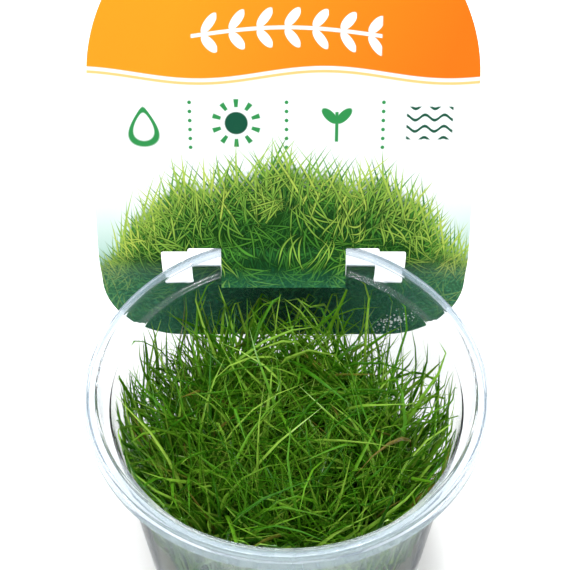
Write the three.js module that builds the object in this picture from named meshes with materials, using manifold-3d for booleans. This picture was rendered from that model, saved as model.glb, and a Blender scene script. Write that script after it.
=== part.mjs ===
// Mini hairgrass in a clear plastic culture cup: the cup, its nutrient gel, nineteen tufts of grass and the plant
// label that hooks over the back of the rim. Millimetres, +Z up. The origin is the middle of the cup's flat underside
// and the label stands at +Y.
import * as THREE from "three";
import { mergeVertices } from "three/addons/utils/BufferGeometryUtils.js";
import Module from "manifold-3d";

const wasm = await Module();
wasm.setup();

// Cup. Radii are measured from its axis, and a drop is measured down from the top of the rim.
const CUP_HEIGHT = 70;
const CUP_SIDES = 48;
const PLASTIC = 0.7;
const BASE_THICKNESS = 1.2;
const BASE_CORNER = 3;
const RIM_RADIUS = 50.5;
const RIM_ROUNDING = 0.5;
const SKIRT_RADIUS = 51.4;
const SKIRT_DROP = 4.4;
const COLLAR_TOP_RADIUS = 48.2;
const COLLAR_LOW_RADIUS = 46.5;
const COLLAR_DROP = 4.6;
const LEDGE_FILLET = 1.2;
const LEDGE_RADIUS = 44.6;
const LEDGE_DROP = 6.1;
const WALL_TAPER = 0.1; // radius lost for each millimetre down

// Nutrient gel in the bottom of the cup.
const GAP = 0.3; // clearance between pieces that touch in the real thing
const GEL_TOP = 11;
const GEL_SIDES = 48;

// Grass. The tufts stand on a triangular lattice that fans out as the cup widens. Each tuft is a dense sheaf of
// blades, drawn as one fluted body, with the free ends of its tallest blades standing out of the top.
const TUFT_SPACING = 14.8;
const TUFT_RINGS = 2;
const TUFT_MARGIN = 0.4; // kept free on each side of the line between two tufts
const SHEAF_SIDES = 16;
const SHEAF_TOP = 47;
const SHEAF_CREST = 4; // how much higher the middle of a sheaf is than the grooves at its edge
const SHEAF_FOOT = 0.78; // width of a sheaf on the gel, as a share of its width at the top
const SHEAF_GROOVE = 0.86;
const WIDEST_SHEAF = 12;
const BLADES_PER_TUFT = 13;
const BLADE_RADIUS = 0.9;
const BLADE_DEPTH = 6; // how deep a free blade starts in its sheaf
const BLADE_MARGIN = 1.4;
const BLADE_LEAN = 3.5; // how far a tip stands outside its foot
const SHORTEST_TIP = 53; // height of the lowest blade tips above the cup's underside
const TALLEST_TIP = 63.5;
const GOLDEN_ANGLE = Math.PI * (3 - Math.sqrt(5)); // spreads the blades evenly round a tuft
const SEED = 20;

// Label. Its sheet is described by the height z along it, from the level of the rim.
const SHEET = 0.5;
const LABEL_OFFSET = -0.8; // the label hangs a little to the left of the cup's middle
const LABEL_HALF_WIDTH = 50.2;
const LABEL_LEAN = THREE.MathUtils.degToRad(19); // of the part above the rim, away from upright
const LABEL_DEPTH_AT_RIM = 44.4; // y of the leaning plane at the rim's level
const LABEL_BOTTOM = -33.4;
const LABEL_LOW_CORNER = 21;
const DOME_START = 47.3;
const BEND_LOW = -13; // below this the sheet runs beside the cup's wall
const BEND_HIGH = 1; // above this it is flat and leans back
const BEND_LOW_DEPTH = 45.35;
const WINDOW_TOP_INNER = 0.8;
const WINDOW_TOP_STEP = 1.5;
const WINDOW_STEP_X = 26;
const WINDOW_OUTER_X = 33.2;
const WINDOW_OUTER_TOP = 0.6;
const WINDOW_OUTER_TOP_END = 0.5;
const WINDOW_BOTTOM = -12.7;
const TAB_INNER_X = 17.25;
const TAB_OUTER_X = 25.2;
const TAB_TOP = -4.9;
const TONGUE_HALF_WIDTH = 16.9;
const TONGUE_SLOT_BOTTOM = -11.2;
const WINDOW_ROUNDING = 1;
// The tongue's middle line as [y, z]: out of the plate, creased over the rim, then down inside the wall.
const TONGUE_LINE = [
  [45.02, 1.8],
  [44.68, 0.9],
  [43.15, -0.6],
  [41.35, -4.7],
  [39.5, -8.8],
];

// Colours, as the pieces show them in daylight.
const finish = (color, roughness, opacity = 1) =>
  new THREE.MeshStandardMaterial({ color, roughness, metalness: 0, opacity, transparent: opacity < 1 });
const CLEAR_PLASTIC = finish(0xeaf2f6, 0.15, 0.35);
const JELLY = finish(0xe9e6cf, 0.2, 0.7);
const LEAF = finish(0x4c8a14, 0.45);
const LABEL_PLASTIC = finish(0xf4fffd, 0.35);

// A generator of repeatable random numbers from 0 to 1.
function makeRandom(seed) {
  let state = seed;
  return () => {
    state = (Math.imul(state, 1664525) + 1013904223) >>> 0;
    return state / 4294967296;
  };
}

// A closed three.js geometry as a solid that can be joined and cut.
function toSolid(geometry) {
  const bare = geometry.clone();
  bare.deleteAttribute("normal");
  bare.deleteAttribute("uv");
  const merged = mergeVertices(bare, 1e-4);
  return new wasm.Manifold(
    new wasm.Mesh({
      numProp: 3,
      vertProperties: new Float32Array(merged.attributes.position.array),
      triVerts: new Uint32Array(merged.index.array),
    }),
  );
}

// A joined or cut solid back as a three.js geometry.
function toGeometry(solid) {
  const mesh = solid.getMesh();
  const geometry = new THREE.BufferGeometry();
  geometry.setAttribute("position", new THREE.BufferAttribute(mesh.vertProperties, 3));
  geometry.setIndex(new THREE.BufferAttribute(mesh.triVerts, 1));
  geometry.computeVertexNormals();
  return geometry;
}

function namedMesh(name, geometry, material) {
  const mesh = new THREE.Mesh(geometry, material);
  mesh.name = name;
  return mesh;
}

// Turns a profile of [radius, height] points about the upright axis.
function turned(profile, sides) {
  const points = profile.map(([radius, height]) => new THREE.Vector2(radius, height));
  return new THREE.LatheGeometry(points, sides).rotateX(Math.PI / 2);
}

// Points on an arc about [radius, height], from one angle to another, in degrees.
function arc(centre, size, from, to, steps) {
  return Array.from({ length: steps + 1 }, (_, i) => {
    const angle = THREE.MathUtils.degToRad(from + ((to - from) * i) / steps);
    return [centre[0] + size * Math.cos(angle), centre[1] + size * Math.sin(angle)];
  });
}

// Inner radius of the tapered wall at a height above the underside.
const innerWall = (z) => LEDGE_RADIUS - WALL_TAPER * (CUP_HEIGHT - LEDGE_DROP - z);

function cultureCup() {
  const top = CUP_HEIGHT;
  const outerCorner = [innerWall(BASE_CORNER) + PLASTIC - BASE_CORNER, BASE_CORNER];
  const innerRound = BASE_CORNER - PLASTIC;
  const floor = BASE_THICKNESS;
  const innerCorner = [innerWall(floor + innerRound) - innerRound, floor + innerRound];
  const outside = [
    [0, 0],
    ...arc(outerCorner, BASE_CORNER, -90, 0, 3),
    [LEDGE_RADIUS + PLASTIC, top - LEDGE_DROP - PLASTIC],
    [COLLAR_LOW_RADIUS + PLASTIC - LEDGE_FILLET / 2, top - LEDGE_DROP - PLASTIC / 3],
    [COLLAR_LOW_RADIUS + PLASTIC, top - LEDGE_DROP + PLASTIC],
    [COLLAR_TOP_RADIUS + PLASTIC, top - PLASTIC],
    [RIM_RADIUS - PLASTIC, top - PLASTIC],
    [SKIRT_RADIUS - PLASTIC, top - SKIRT_DROP],
    [SKIRT_RADIUS, top - SKIRT_DROP],
  ];
  const rim = [
    ...arc([RIM_RADIUS - RIM_ROUNDING, top - RIM_ROUNDING], RIM_ROUNDING, 0, 90, 2),
    [COLLAR_TOP_RADIUS + RIM_ROUNDING, top],
    [COLLAR_TOP_RADIUS, top - RIM_ROUNDING],
  ];
  const inside = [
    ...arc([COLLAR_LOW_RADIUS - LEDGE_FILLET, top - COLLAR_DROP], LEDGE_FILLET, 0, -80, 3),
    [LEDGE_RADIUS, top - LEDGE_DROP],
    ...arc(innerCorner, innerRound, 0, -90, 3),
    [0, floor],
  ];
  return namedMesh("culture_cup", turned([...outside, ...rim, ...inside], CUP_SIDES), CLEAR_PLASTIC);
}

function nutrientGel() {
  const floor = BASE_THICKNESS + GAP;
  const chamfer = BASE_CORNER;
  const profile = [
    [0, floor],
    [innerWall(floor) - GAP - chamfer, floor],
    [innerWall(floor + chamfer) - GAP, floor + chamfer],
    [innerWall(GEL_TOP) - GAP, GEL_TOP],
    [0, GEL_TOP],
  ];
  return namedMesh("nutrient_gel", turned(profile, GEL_SIDES), JELLY);
}

// Middles of the tufts on the gel, from the middle one outwards.
function tuftCentres() {
  const centres = [];
  for (let a = -TUFT_RINGS; a <= TUFT_RINGS; a += 1) {
    for (let b = -TUFT_RINGS; b <= TUFT_RINGS; b += 1) {
      if (Math.abs(a + b) > TUFT_RINGS) continue;
      centres.push(new THREE.Vector2(a + b / 2, (b * Math.sqrt(3)) / 2).multiplyScalar(TUFT_SPACING));
    }
  }
  return centres.sort((p, q) => p.length() - q.length() || p.angle() - q.angle());
}

// How much wider the cup is at a height than on the gel.
const fanOut = (z) => innerWall(z) / innerWall(GEL_TOP);

// Whether a point on the gel's plane belongs to one tuft alone and is clear of the wall.
function inCell(point, own, centres, margin) {
  if (point.length() > innerWall(GEL_TOP) - margin) return false;
  return centres.every((other) => {
    if (other === own) return true;
    const away = other.clone().sub(own);
    const half = away.length() / 2;
    return point.clone().sub(own).dot(away.normalize()) < half - margin;
  });
}

// The point in one direction from a tuft's middle, as far out as asked or as far as the tuft's cell lets it be.
function pointInCell(own, centres, angle, distance, margin) {
  const direction = new THREE.Vector2(Math.cos(angle), Math.sin(angle));
  const step = 0.2;
  for (let reach = distance; reach > 0; reach -= step) {
    const point = own.clone().add(direction.clone().multiplyScalar(reach));
    if (inCell(point, own, centres, margin)) return point;
  }
  return own.clone();
}

// The body of a tuft: its cell's outline, grooved all round, from the gel up to a jagged crest.
function sheaf(own, centres) {
  const low = GEL_TOP + GAP;
  const geometry = new THREE.CylinderGeometry(1, 1, 1, SHEAF_SIDES, 2).rotateX(Math.PI / 2);
  const position = geometry.attributes.position;
  for (let i = 0; i < position.count; i += 1) {
    const side = new THREE.Vector2(position.getX(i), position.getY(i));
    const turn = Math.round((side.angle() * SHEAF_SIDES) / (2 * Math.PI)) % SHEAF_SIDES;
    const angle = (turn * 2 * Math.PI) / SHEAF_SIDES;
    const groove = turn % 2 ? SHEAF_GROOVE : 1;
    const level = position.getZ(i) + 0.5;
    const atEdge = Math.min(1, Math.round(side.length()));
    const crest = level === 1 ? SHEAF_CREST * (1 - atEdge * (turn % 2 ? 1 : 0.5)) : 0;
    const height = THREE.MathUtils.lerp(low, SHEAF_TOP, level) + crest;
    const share = atEdge * groove * THREE.MathUtils.lerp(SHEAF_FOOT, 1, Math.sqrt(level));
    const edge = pointInCell(own, centres, angle, WIDEST_SHEAF, TUFT_MARGIN);
    const place = own.clone().lerp(edge, share).multiplyScalar(fanOut(height));
    position.setXYZ(i, place.x, place.y, height);
  }
  return toSolid(geometry);
}

// The free end of one leaf blade: a slim three-sided spike that bows from its foot to its tip.
function blade(foot, tip, tipHeight, turn) {
  const low = SHEAF_TOP - BLADE_DEPTH;
  const bow = new THREE.QuadraticBezierCurve(foot, foot.clone().lerp(tip, 0.25), tip);
  const geometry = new THREE.ConeGeometry(BLADE_RADIUS, 1, 3, 2).rotateX(Math.PI / 2).rotateZ(turn);
  const position = geometry.attributes.position;
  for (let i = 0; i < position.count; i += 1) {
    const along = position.getZ(i) + 0.5;
    const height = THREE.MathUtils.lerp(low, tipHeight, along);
    const centre = bow.getPoint(along).multiplyScalar(fanOut(height));
    position.setXYZ(i, centre.x + position.getX(i), centre.y + position.getY(i), height);
  }
  return toSolid(geometry);
}

function tuft(index, centres, random) {
  const own = centres[index];
  const parts = [sheaf(own, centres)];
  for (let i = 0; i < BLADES_PER_TUFT; i += 1) {
    const angle = i * GOLDEN_ANGLE;
    const outward = Math.sqrt((i + 0.5) / BLADES_PER_TUFT);
    const edge = pointInCell(own, centres, angle, WIDEST_SHEAF, BLADE_MARGIN);
    const distance = SHEAF_GROOVE * outward * edge.distanceTo(own) - BLADE_RADIUS;
    const foot = pointInCell(own, centres, angle, Math.max(distance, 0), BLADE_MARGIN);
    const tip = pointInCell(own, centres, angle, distance + BLADE_LEAN * outward, BLADE_MARGIN);
    const tipHeight = THREE.MathUtils.lerp(SHORTEST_TIP, TALLEST_TIP, random());
    parts.push(blade(foot, tip, tipHeight, 2 * Math.PI * random()));
  }
  const name = "tuft_" + String(index + 1).padStart(2, "0");
  // Where blades cross they can close off a pocket of air, which is filled.
  const [grown] = wasm.Manifold.union(parts)
    .decompose()
    .filter((piece) => piece.volume() > 0);
  return namedMesh(name, toGeometry(grown), LEAF);
}

// Depth y of the label's middle surface at a height from the rim: beside the wall, then a bend, then leaning back.
function labelDepth(z) {
  const lean = Math.tan(LABEL_LEAN);
  if (z <= BEND_LOW) return BEND_LOW_DEPTH + WALL_TAPER * (z - BEND_LOW);
  if (z >= BEND_HIGH) return LABEL_DEPTH_AT_RIM + lean * z;
  const span = BEND_HIGH - BEND_LOW;
  const t = (z - BEND_LOW) / span;
  const high = LABEL_DEPTH_AT_RIM + lean * BEND_HIGH;
  return (
    (1 + 2 * t) * (1 - t) ** 2 * BEND_LOW_DEPTH +
    t * (1 - t) ** 2 * span * WALL_TAPER +
    t * t * (3 - 2 * t) * high +
    t * t * (t - 1) * span * lean
  );
}

// A strip of sheet whose middle line goes through [y, z] points, with its half width at each of them.
function sheetStrip(line, halfWidths) {
  const rows = line.length - 1;
  const geometry = new THREE.BoxGeometry(2, rows, 1, 1, rows, 1);
  const position = geometry.attributes.position;
  for (let i = 0; i < position.count; i += 1) {
    const row = Math.round(position.getY(i) + rows / 2);
    const before = line[Math.max(row - 1, 0)];
    const after = line[Math.min(row + 1, rows)];
    const along = new THREE.Vector2(after[0] - before[0], after[1] - before[1]).normalize();
    const offset = position.getZ(i) * SHEET;
    const y = line[row][0] - offset * along.y;
    const z = line[row][1] + offset * along.x;
    position.setXYZ(i, position.getX(i) * halfWidths[row], y, CUP_HEIGHT + z);
  }
  return toSolid(geometry);
}

// The whole sheet before its windows are cut, from the rounded lower corners to the domed top.
function labelPlate() {
  const outline = [];
  const cornerTop = LABEL_BOTTOM + LABEL_LOW_CORNER;
  for (const [sideways, down] of arc([0, 0], LABEL_LOW_CORNER, 90, 0, 8)) {
    outline.push([LABEL_HALF_WIDTH - LABEL_LOW_CORNER + sideways, cornerTop - down]);
  }
  const bendRows = 7;
  for (let i = 1; i <= bendRows; i += 1) {
    outline.push([LABEL_HALF_WIDTH, THREE.MathUtils.lerp(BEND_LOW, BEND_HIGH, i / bendRows)]);
  }
  for (const [sideways, up] of arc([0, 0], LABEL_HALF_WIDTH, 0, 88, 14)) {
    outline.push([sideways, DOME_START + up * Math.cos(LABEL_LEAN)]);
  }
  const line = outline.map(([, z]) => [labelDepth(z), z]);
  return sheetStrip(
    line,
    outline.map(([half]) => half),
  );
}

// A closed outline whose corners are rounded.
function roundedShape(corners, rounding) {
  const shape = new THREE.Shape();
  corners.forEach((corner, i) => {
    const here = new THREE.Vector2(...corner);
    const before = new THREE.Vector2(...corners.at(i - 1));
    const after = new THREE.Vector2(...corners[(i + 1) % corners.length]);
    const start = here.clone().add(before.sub(here).setLength(rounding));
    const end = here.clone().add(after.sub(here).setLength(rounding));
    if (i === 0) shape.moveTo(start.x, start.y);
    else shape.lineTo(start.x, start.y);
    shape.quadraticCurveTo(here.x, here.y, end.x, end.y);
  });
  return shape;
}

// The two stepped windows and the slot behind the tongue, as one cutter through the sheet.
function labelCutter() {
  const right = [
    [TONGUE_HALF_WIDTH, WINDOW_TOP_INNER],
    [TAB_INNER_X, TONGUE_SLOT_BOTTOM],
    [TAB_INNER_X, TAB_TOP],
    [TAB_OUTER_X, TAB_TOP],
    [TAB_OUTER_X, WINDOW_BOTTOM],
    [WINDOW_OUTER_X, WINDOW_BOTTOM],
    [WINDOW_OUTER_X, WINDOW_OUTER_TOP_END],
    [WINDOW_STEP_X, WINDOW_OUTER_TOP],
    [WINDOW_STEP_X, WINDOW_TOP_STEP],
  ];
  const [inner, ...rightLoop] = right;
  const leftLoop = rightLoop.map(([x, z]) => [-x, z]).reverse();
  const corners = [...rightLoop, inner, [-inner[0], inner[1]], ...leftLoop];
  const depth = 20;
  const geometry = new THREE.ExtrudeGeometry(roundedShape(corners, WINDOW_ROUNDING / 2), {
    depth,
    bevelEnabled: false,
    curveSegments: 2,
  });
  geometry.rotateX(Math.PI / 2).translate(0, LABEL_DEPTH_AT_RIM + depth / 2, CUP_HEIGHT);
  return toSolid(geometry);
}

function plantLabel() {
  const tongue = sheetStrip(
    TONGUE_LINE,
    TONGUE_LINE.map(() => TONGUE_HALF_WIDTH),
  );
  const solid = labelPlate().subtract(labelCutter()).add(tongue).translate([LABEL_OFFSET, 0, 0]);
  return namedMesh("plant_label", toGeometry(solid), LABEL_PLASTIC);
}

const plant = new THREE.Group();
plant.add(cultureCup(), nutrientGel(), plantLabel());
const centres = tuftCentres();
const random = makeRandom(SEED);
centres.forEach((_, index) => plant.add(tuft(index, centres, random)));

export default plant;
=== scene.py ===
"""Looks of a clear culture cup of mini hairgrass: the cup, its gel, its turf and the printed plant label.

Sizes in the classes are millimetres. The cup's axis is Z, its underside is at zero and the label stands at
+Y, so the camera looks along +Y and down. Blender works in metres, and MM turns a size to metres.
"""

import logging
import math
from abc import ABC, abstractmethod
from collections.abc import Callable, Sequence
from dataclasses import dataclass, field
from enum import Enum
from typing import ClassVar

import bpy
import numpy as np
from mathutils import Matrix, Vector

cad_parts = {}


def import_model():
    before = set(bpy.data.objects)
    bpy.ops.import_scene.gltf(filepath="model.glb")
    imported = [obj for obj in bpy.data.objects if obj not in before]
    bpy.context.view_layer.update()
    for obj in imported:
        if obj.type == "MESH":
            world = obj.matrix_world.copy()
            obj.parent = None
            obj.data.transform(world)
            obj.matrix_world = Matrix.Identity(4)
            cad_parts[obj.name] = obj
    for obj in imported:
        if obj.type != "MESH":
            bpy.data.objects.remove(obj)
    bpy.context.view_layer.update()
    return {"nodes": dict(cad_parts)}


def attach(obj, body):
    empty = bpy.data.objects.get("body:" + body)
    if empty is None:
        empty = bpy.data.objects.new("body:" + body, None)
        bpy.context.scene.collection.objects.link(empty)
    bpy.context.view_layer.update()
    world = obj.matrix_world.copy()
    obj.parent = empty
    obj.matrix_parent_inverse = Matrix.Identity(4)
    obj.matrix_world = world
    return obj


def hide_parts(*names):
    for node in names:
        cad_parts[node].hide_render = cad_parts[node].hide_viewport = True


MM = 0.001
SEED = 27
log = logging.getLogger("hairgrass")

Piece = bpy.types.Object
Node = bpy.types.Node
NodeTree = bpy.types.NodeTree
Socket = bpy.types.NodeSocket
Outline = list[tuple[float, float]]
Stops = tuple[tuple[float, str], ...]
Blades = dict[str, np.ndarray]
Pattern = tuple[np.ndarray, np.ndarray, np.ndarray]


def linear(colour: str) -> tuple[float, float, float, float]:
    """Turns an sRGB hex colour to the linear values that a shader takes.

    Args:
        colour: A hash and six hex digits, such as "#9CC63A".

    Returns:
        Red, green and blue, and an alpha of 1.
    """
    parts = [int(colour[i : i + 2], 16) / 255 for i in (1, 3, 5)]
    red, green, blue = (p / 12.92 if p <= 0.04045 else ((p + 0.055) / 1.055) ** 2.4 for p in parts)
    return red, green, blue, 1.0


def add_node(
    tree: NodeTree, kind: str, sockets: dict | None = None, stops: Stops = (), **settings: object
) -> Node:
    """Adds one node with its settings, its socket values and the links into it.

    Args:
        tree: The node tree that gets the node.
        kind: The node's type name.
        sockets: Input name or number to a value, a hex colour, or a field, node or socket to link.
        stops: Place and hex colour of each stop of a colour ramp, in order.
        settings: Properties of the node itself.

    Returns:
        The new node.
    """
    node = tree.nodes.new(kind)
    for name, value in settings.items():
        setattr(node, name, value)
    for key, value in (sockets or {}).items():
        if isinstance(value, Field):
            value = value.socket
        elif isinstance(value, Node):
            value = value.outputs[0]
        elif isinstance(value, str):
            value = linear(value)
        if isinstance(value, Socket):
            tree.links.new(value, node.inputs[key])
        else:
            node.inputs[key].default_value = value
    for i, (position, colour) in enumerate(stops):
        elements = node.color_ramp.elements
        element = elements[i] if i < 2 else elements.new(position)
        element.position = position
        element.color = linear(colour)
    return node


class Field:
    """A number that varies over a surface. Arithmetic on it adds math nodes to its material."""

    def __init__(self, tree: NodeTree, source: Node | Socket) -> None:
        """Takes the material's tree, and the node or the socket that gives the number."""
        self.tree = tree
        self.socket = source.outputs[0] if isinstance(source, Node) else source

    def math(self, operation: str, *others: "Field | float", clamp: bool = False) -> "Field":
        """Combines this field with others in one math node.

        Args:
            operation: The math node's operation.
            others: Fields or numbers for the inputs after the first.
            clamp: Whether the result is held between 0 and 1.

        Returns:
            The result as a field.
        """
        sockets = dict(enumerate((self, *others)))
        node = add_node(self.tree, "ShaderNodeMath", sockets, operation=operation, use_clamp=clamp)
        return Field(self.tree, node)

    def __add__(self, other: "Field | float") -> "Field":
        """Adds."""
        return self.math("ADD", other)

    def __sub__(self, other: "Field | float") -> "Field":
        """Subtracts."""
        return self.math("SUBTRACT", other)

    def __mul__(self, other: "Field | float") -> "Field":
        """Multiplies."""
        return self.math("MULTIPLY", other)

    def size(self) -> "Field":
        """Drops the sign."""
        return self.math("ABSOLUTE")

    def length(self, other: "Field") -> "Field":
        """Gives the distance that this field and another, at right angles to it, make up."""
        return (self * self + other * other).math("SQRT")

    def wave(self, length: float, height: float, start: float = 0.0) -> "Field":
        """Gives a sine wave of that length and height over this field, with its start in turns."""
        return self.math("MULTIPLY_ADD", 2 * math.pi / length, 2 * math.pi * start).math("SINE") * height

    def above(self, edge: "Field | float", blur: float) -> "Field":
        """Is 1 where this field is over an edge and 0 under it, with a step as wide as the blur."""
        return (self - edge).math("MULTIPLY_ADD", 1 / blur, 0.5, clamp=True)

    def below(self, edge: "Field | float", blur: float) -> "Field":
        """Is 1 where this field is under an edge and 0 over it, with a step as wide as the blur."""
        return (self - edge).math("MULTIPLY_ADD", -1 / blur, 0.5, clamp=True)

    def between(self, low: float, high: float) -> "Field":
        """Rises from 0 at one value to 1 at another."""
        return (self - low).math("MULTIPLY", 1 / (high - low), clamp=True)

    def mixed(self, low: float, high: float) -> "Field":
        """Turns 0 to one value and 1 to another."""
        return self.math("MULTIPLY_ADD", high - low, low)


def in_millimetres(tree: NodeTree, place: Socket) -> list[Field]:
    """Gives the three parts of a place as fields in millimetres."""
    parts = add_node(tree, "ShaderNodeSeparateXYZ", {0: place})
    return [Field(tree, part) * (1 / MM) for part in parts.outputs]


def leaf_shape(along: Field, aside: Field, long: float, wide: float) -> Field:
    """Gives a field that is under 1 inside a leaf. Its half length and half width are given as squares."""
    return (along * along) * (1 / long) + (aside * aside) * (1 / wide)


def deselect() -> None:
    """Leaves nothing selected, so that an operator acts only on what is made next."""
    bpy.ops.object.select_all(action="DESELECT")


def choose(piece: Piece) -> None:
    """Makes one object the only one that operators act on.

    Args:
        piece: The object.
    """
    deselect()
    piece.select_set(True)
    bpy.context.view_layer.objects.active = piece


def settle(piece: Piece) -> None:
    """Puts an object's place, turn and size into its mesh."""
    choose(piece)
    bpy.ops.object.transform_apply(location=True, rotation=True, scale=True)


def shade(piece: Piece, degrees: float) -> None:
    """Shades an object smooth except over edges that are sharper than an angle."""
    choose(piece)
    bpy.ops.object.shade_smooth_by_angle(angle=math.radians(degrees))


def reshape(piece: Piece, corners: np.ndarray) -> None:
    """Moves the corners of an object's mesh to places in millimetres."""
    piece.data.vertices.foreach_set("co", (corners * MM).astype(np.float32).ravel())
    piece.data.update()


def corners_of(piece: Piece) -> np.ndarray:
    """Gives the corners of an object's mesh in millimetres."""
    return np.array([v.co[:] for v in piece.data.vertices]) / MM


def face_outwards(piece: Piece) -> None:
    """Turns the faces of a closed object outwards.

    Args:
        piece: The object.
    """
    choose(piece)
    bpy.ops.object.mode_set(mode="EDIT")
    bpy.ops.mesh.select_all(action="SELECT")
    bpy.ops.mesh.normals_make_consistent(inside=False)
    bpy.ops.object.mode_set(mode="OBJECT")


def box(name: str, low: Sequence[float], high: Sequence[float]) -> Piece:
    """Adds a box with its place in its mesh.

    Args:
        name: Name of the new object.
        low: Its lowest corner in millimetres.
        high: Its highest corner.

    Returns:
        The box.
    """
    deselect()
    centre = [(a + b) / 2 * MM for a, b in zip(low, high)]
    size = [(b - a) * MM for a, b in zip(low, high)]
    bpy.ops.mesh.primitive_cube_add(size=1, location=centre, scale=size)
    piece = bpy.context.object
    piece.name = name
    settle(piece)
    return piece


def combine(piece: Piece, tool: Piece, operation: str) -> None:
    """Joins a tool object to a piece, or cuts the piece with it, and deletes the tool.

    Args:
        piece: The object that is changed.
        tool: A closed object.
        operation: UNION, DIFFERENCE or INTERSECT.
    """
    choose(piece)
    modifier = piece.modifiers.new("combine", "BOOLEAN")
    modifier.operation = operation
    modifier.object = tool
    modifier.solver = "EXACT"
    bpy.ops.object.modifier_apply(modifier=modifier.name)
    bpy.data.objects.remove(tool)


def round_edges(piece: Piece, chosen: Callable[[Vector, Vector], bool], size: float, steps: int) -> None:
    """Rounds the edges of an object that a test picks out.

    Args:
        piece: The object.
        chosen: Says of an edge's two ends, in metres, whether it is rounded.
        size: Radius of the rounding.
        steps: Number of faces across it.
    """
    choose(piece)
    bpy.ops.object.mode_set(mode="EDIT")
    bpy.ops.mesh.select_mode(type="EDGE")
    bpy.ops.mesh.select_all(action="DESELECT")
    bpy.ops.object.mode_set(mode="OBJECT")
    for edge in piece.data.edges:
        edge.select = chosen(*(piece.data.vertices[i].co for i in edge.vertices))
    bpy.ops.object.mode_set(mode="EDIT")
    bpy.ops.mesh.bevel(offset=size * MM, segments=steps, affect="EDGES")
    bpy.ops.object.mode_set(mode="OBJECT")


def arc(centre: tuple[float, float], size: float, start: float, end: float, steps: int) -> Outline:
    """Gives points of a profile on an arc.

    Args:
        centre: The arc's centre as radius and height.
        size: The arc's radius.
        start: First angle in degrees, from the outward direction.
        end: Last angle.
        steps: Number of steps between them.

    Returns:
        The points as radius and height.
    """
    angles = np.radians(np.linspace(start, end, steps + 1))
    return [(centre[0] + size * math.cos(a), centre[1] + size * math.sin(a)) for a in angles]


def turned(name: str, profile: Outline, sides: int) -> Piece:
    """Raises a closed turned body from a filled circle by extruding it from each profile point to the next.

    Args:
        name: Name of the new object.
        profile: Radius and height of each ring in millimetres. The first and the last one are closed flat.
        sides: Number of sides of every ring.

    Returns:
        The body, with its faces pointing out.
    """
    deselect()
    (radius, height), *rings = profile
    place = (0, 0, height * MM)
    bpy.ops.mesh.primitive_circle_add(vertices=sides, radius=radius * MM, fill_type="NGON", location=place)
    body = bpy.context.object
    body.name = name
    settle(body)
    bpy.ops.object.mode_set(mode="EDIT")
    bpy.ops.mesh.select_all(action="SELECT")
    for next_radius, next_height in rings:
        rise = (0, 0, (next_height - height) * MM)
        bpy.ops.mesh.extrude_region_move(TRANSFORM_OT_translate={"value": rise})
        share = next_radius / radius
        bpy.ops.transform.resize(value=(share, share, 1), center_override=(0, 0, 0))
        radius, height = next_radius, next_height
    bpy.ops.object.mode_set(mode="OBJECT")
    face_outwards(body)
    return body


class Finish(ABC):
    """A surface finish. Its title names the real material, and its surface method builds the shader."""

    title: ClassVar[str]

    def material(self) -> bpy.types.Material:
        """Builds the material.

        Returns:
            The material, with its shader linked to its output.
        """
        material = bpy.data.materials.new(self.title)
        material.use_nodes = True
        tree = material.node_tree
        tree.nodes.clear()
        place = add_node(tree, "ShaderNodeTexCoord").outputs["Object"]
        add_node(tree, "ShaderNodeOutputMaterial", {"Surface": self.surface(tree, place)})
        return material

    @abstractmethod
    def surface(self, tree: NodeTree, place: Socket) -> Node:
        """Builds the shader.

        Args:
            tree: The material's tree.
            place: The place on the piece, in metres.

        Returns:
            The shader's node.
        """


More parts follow.
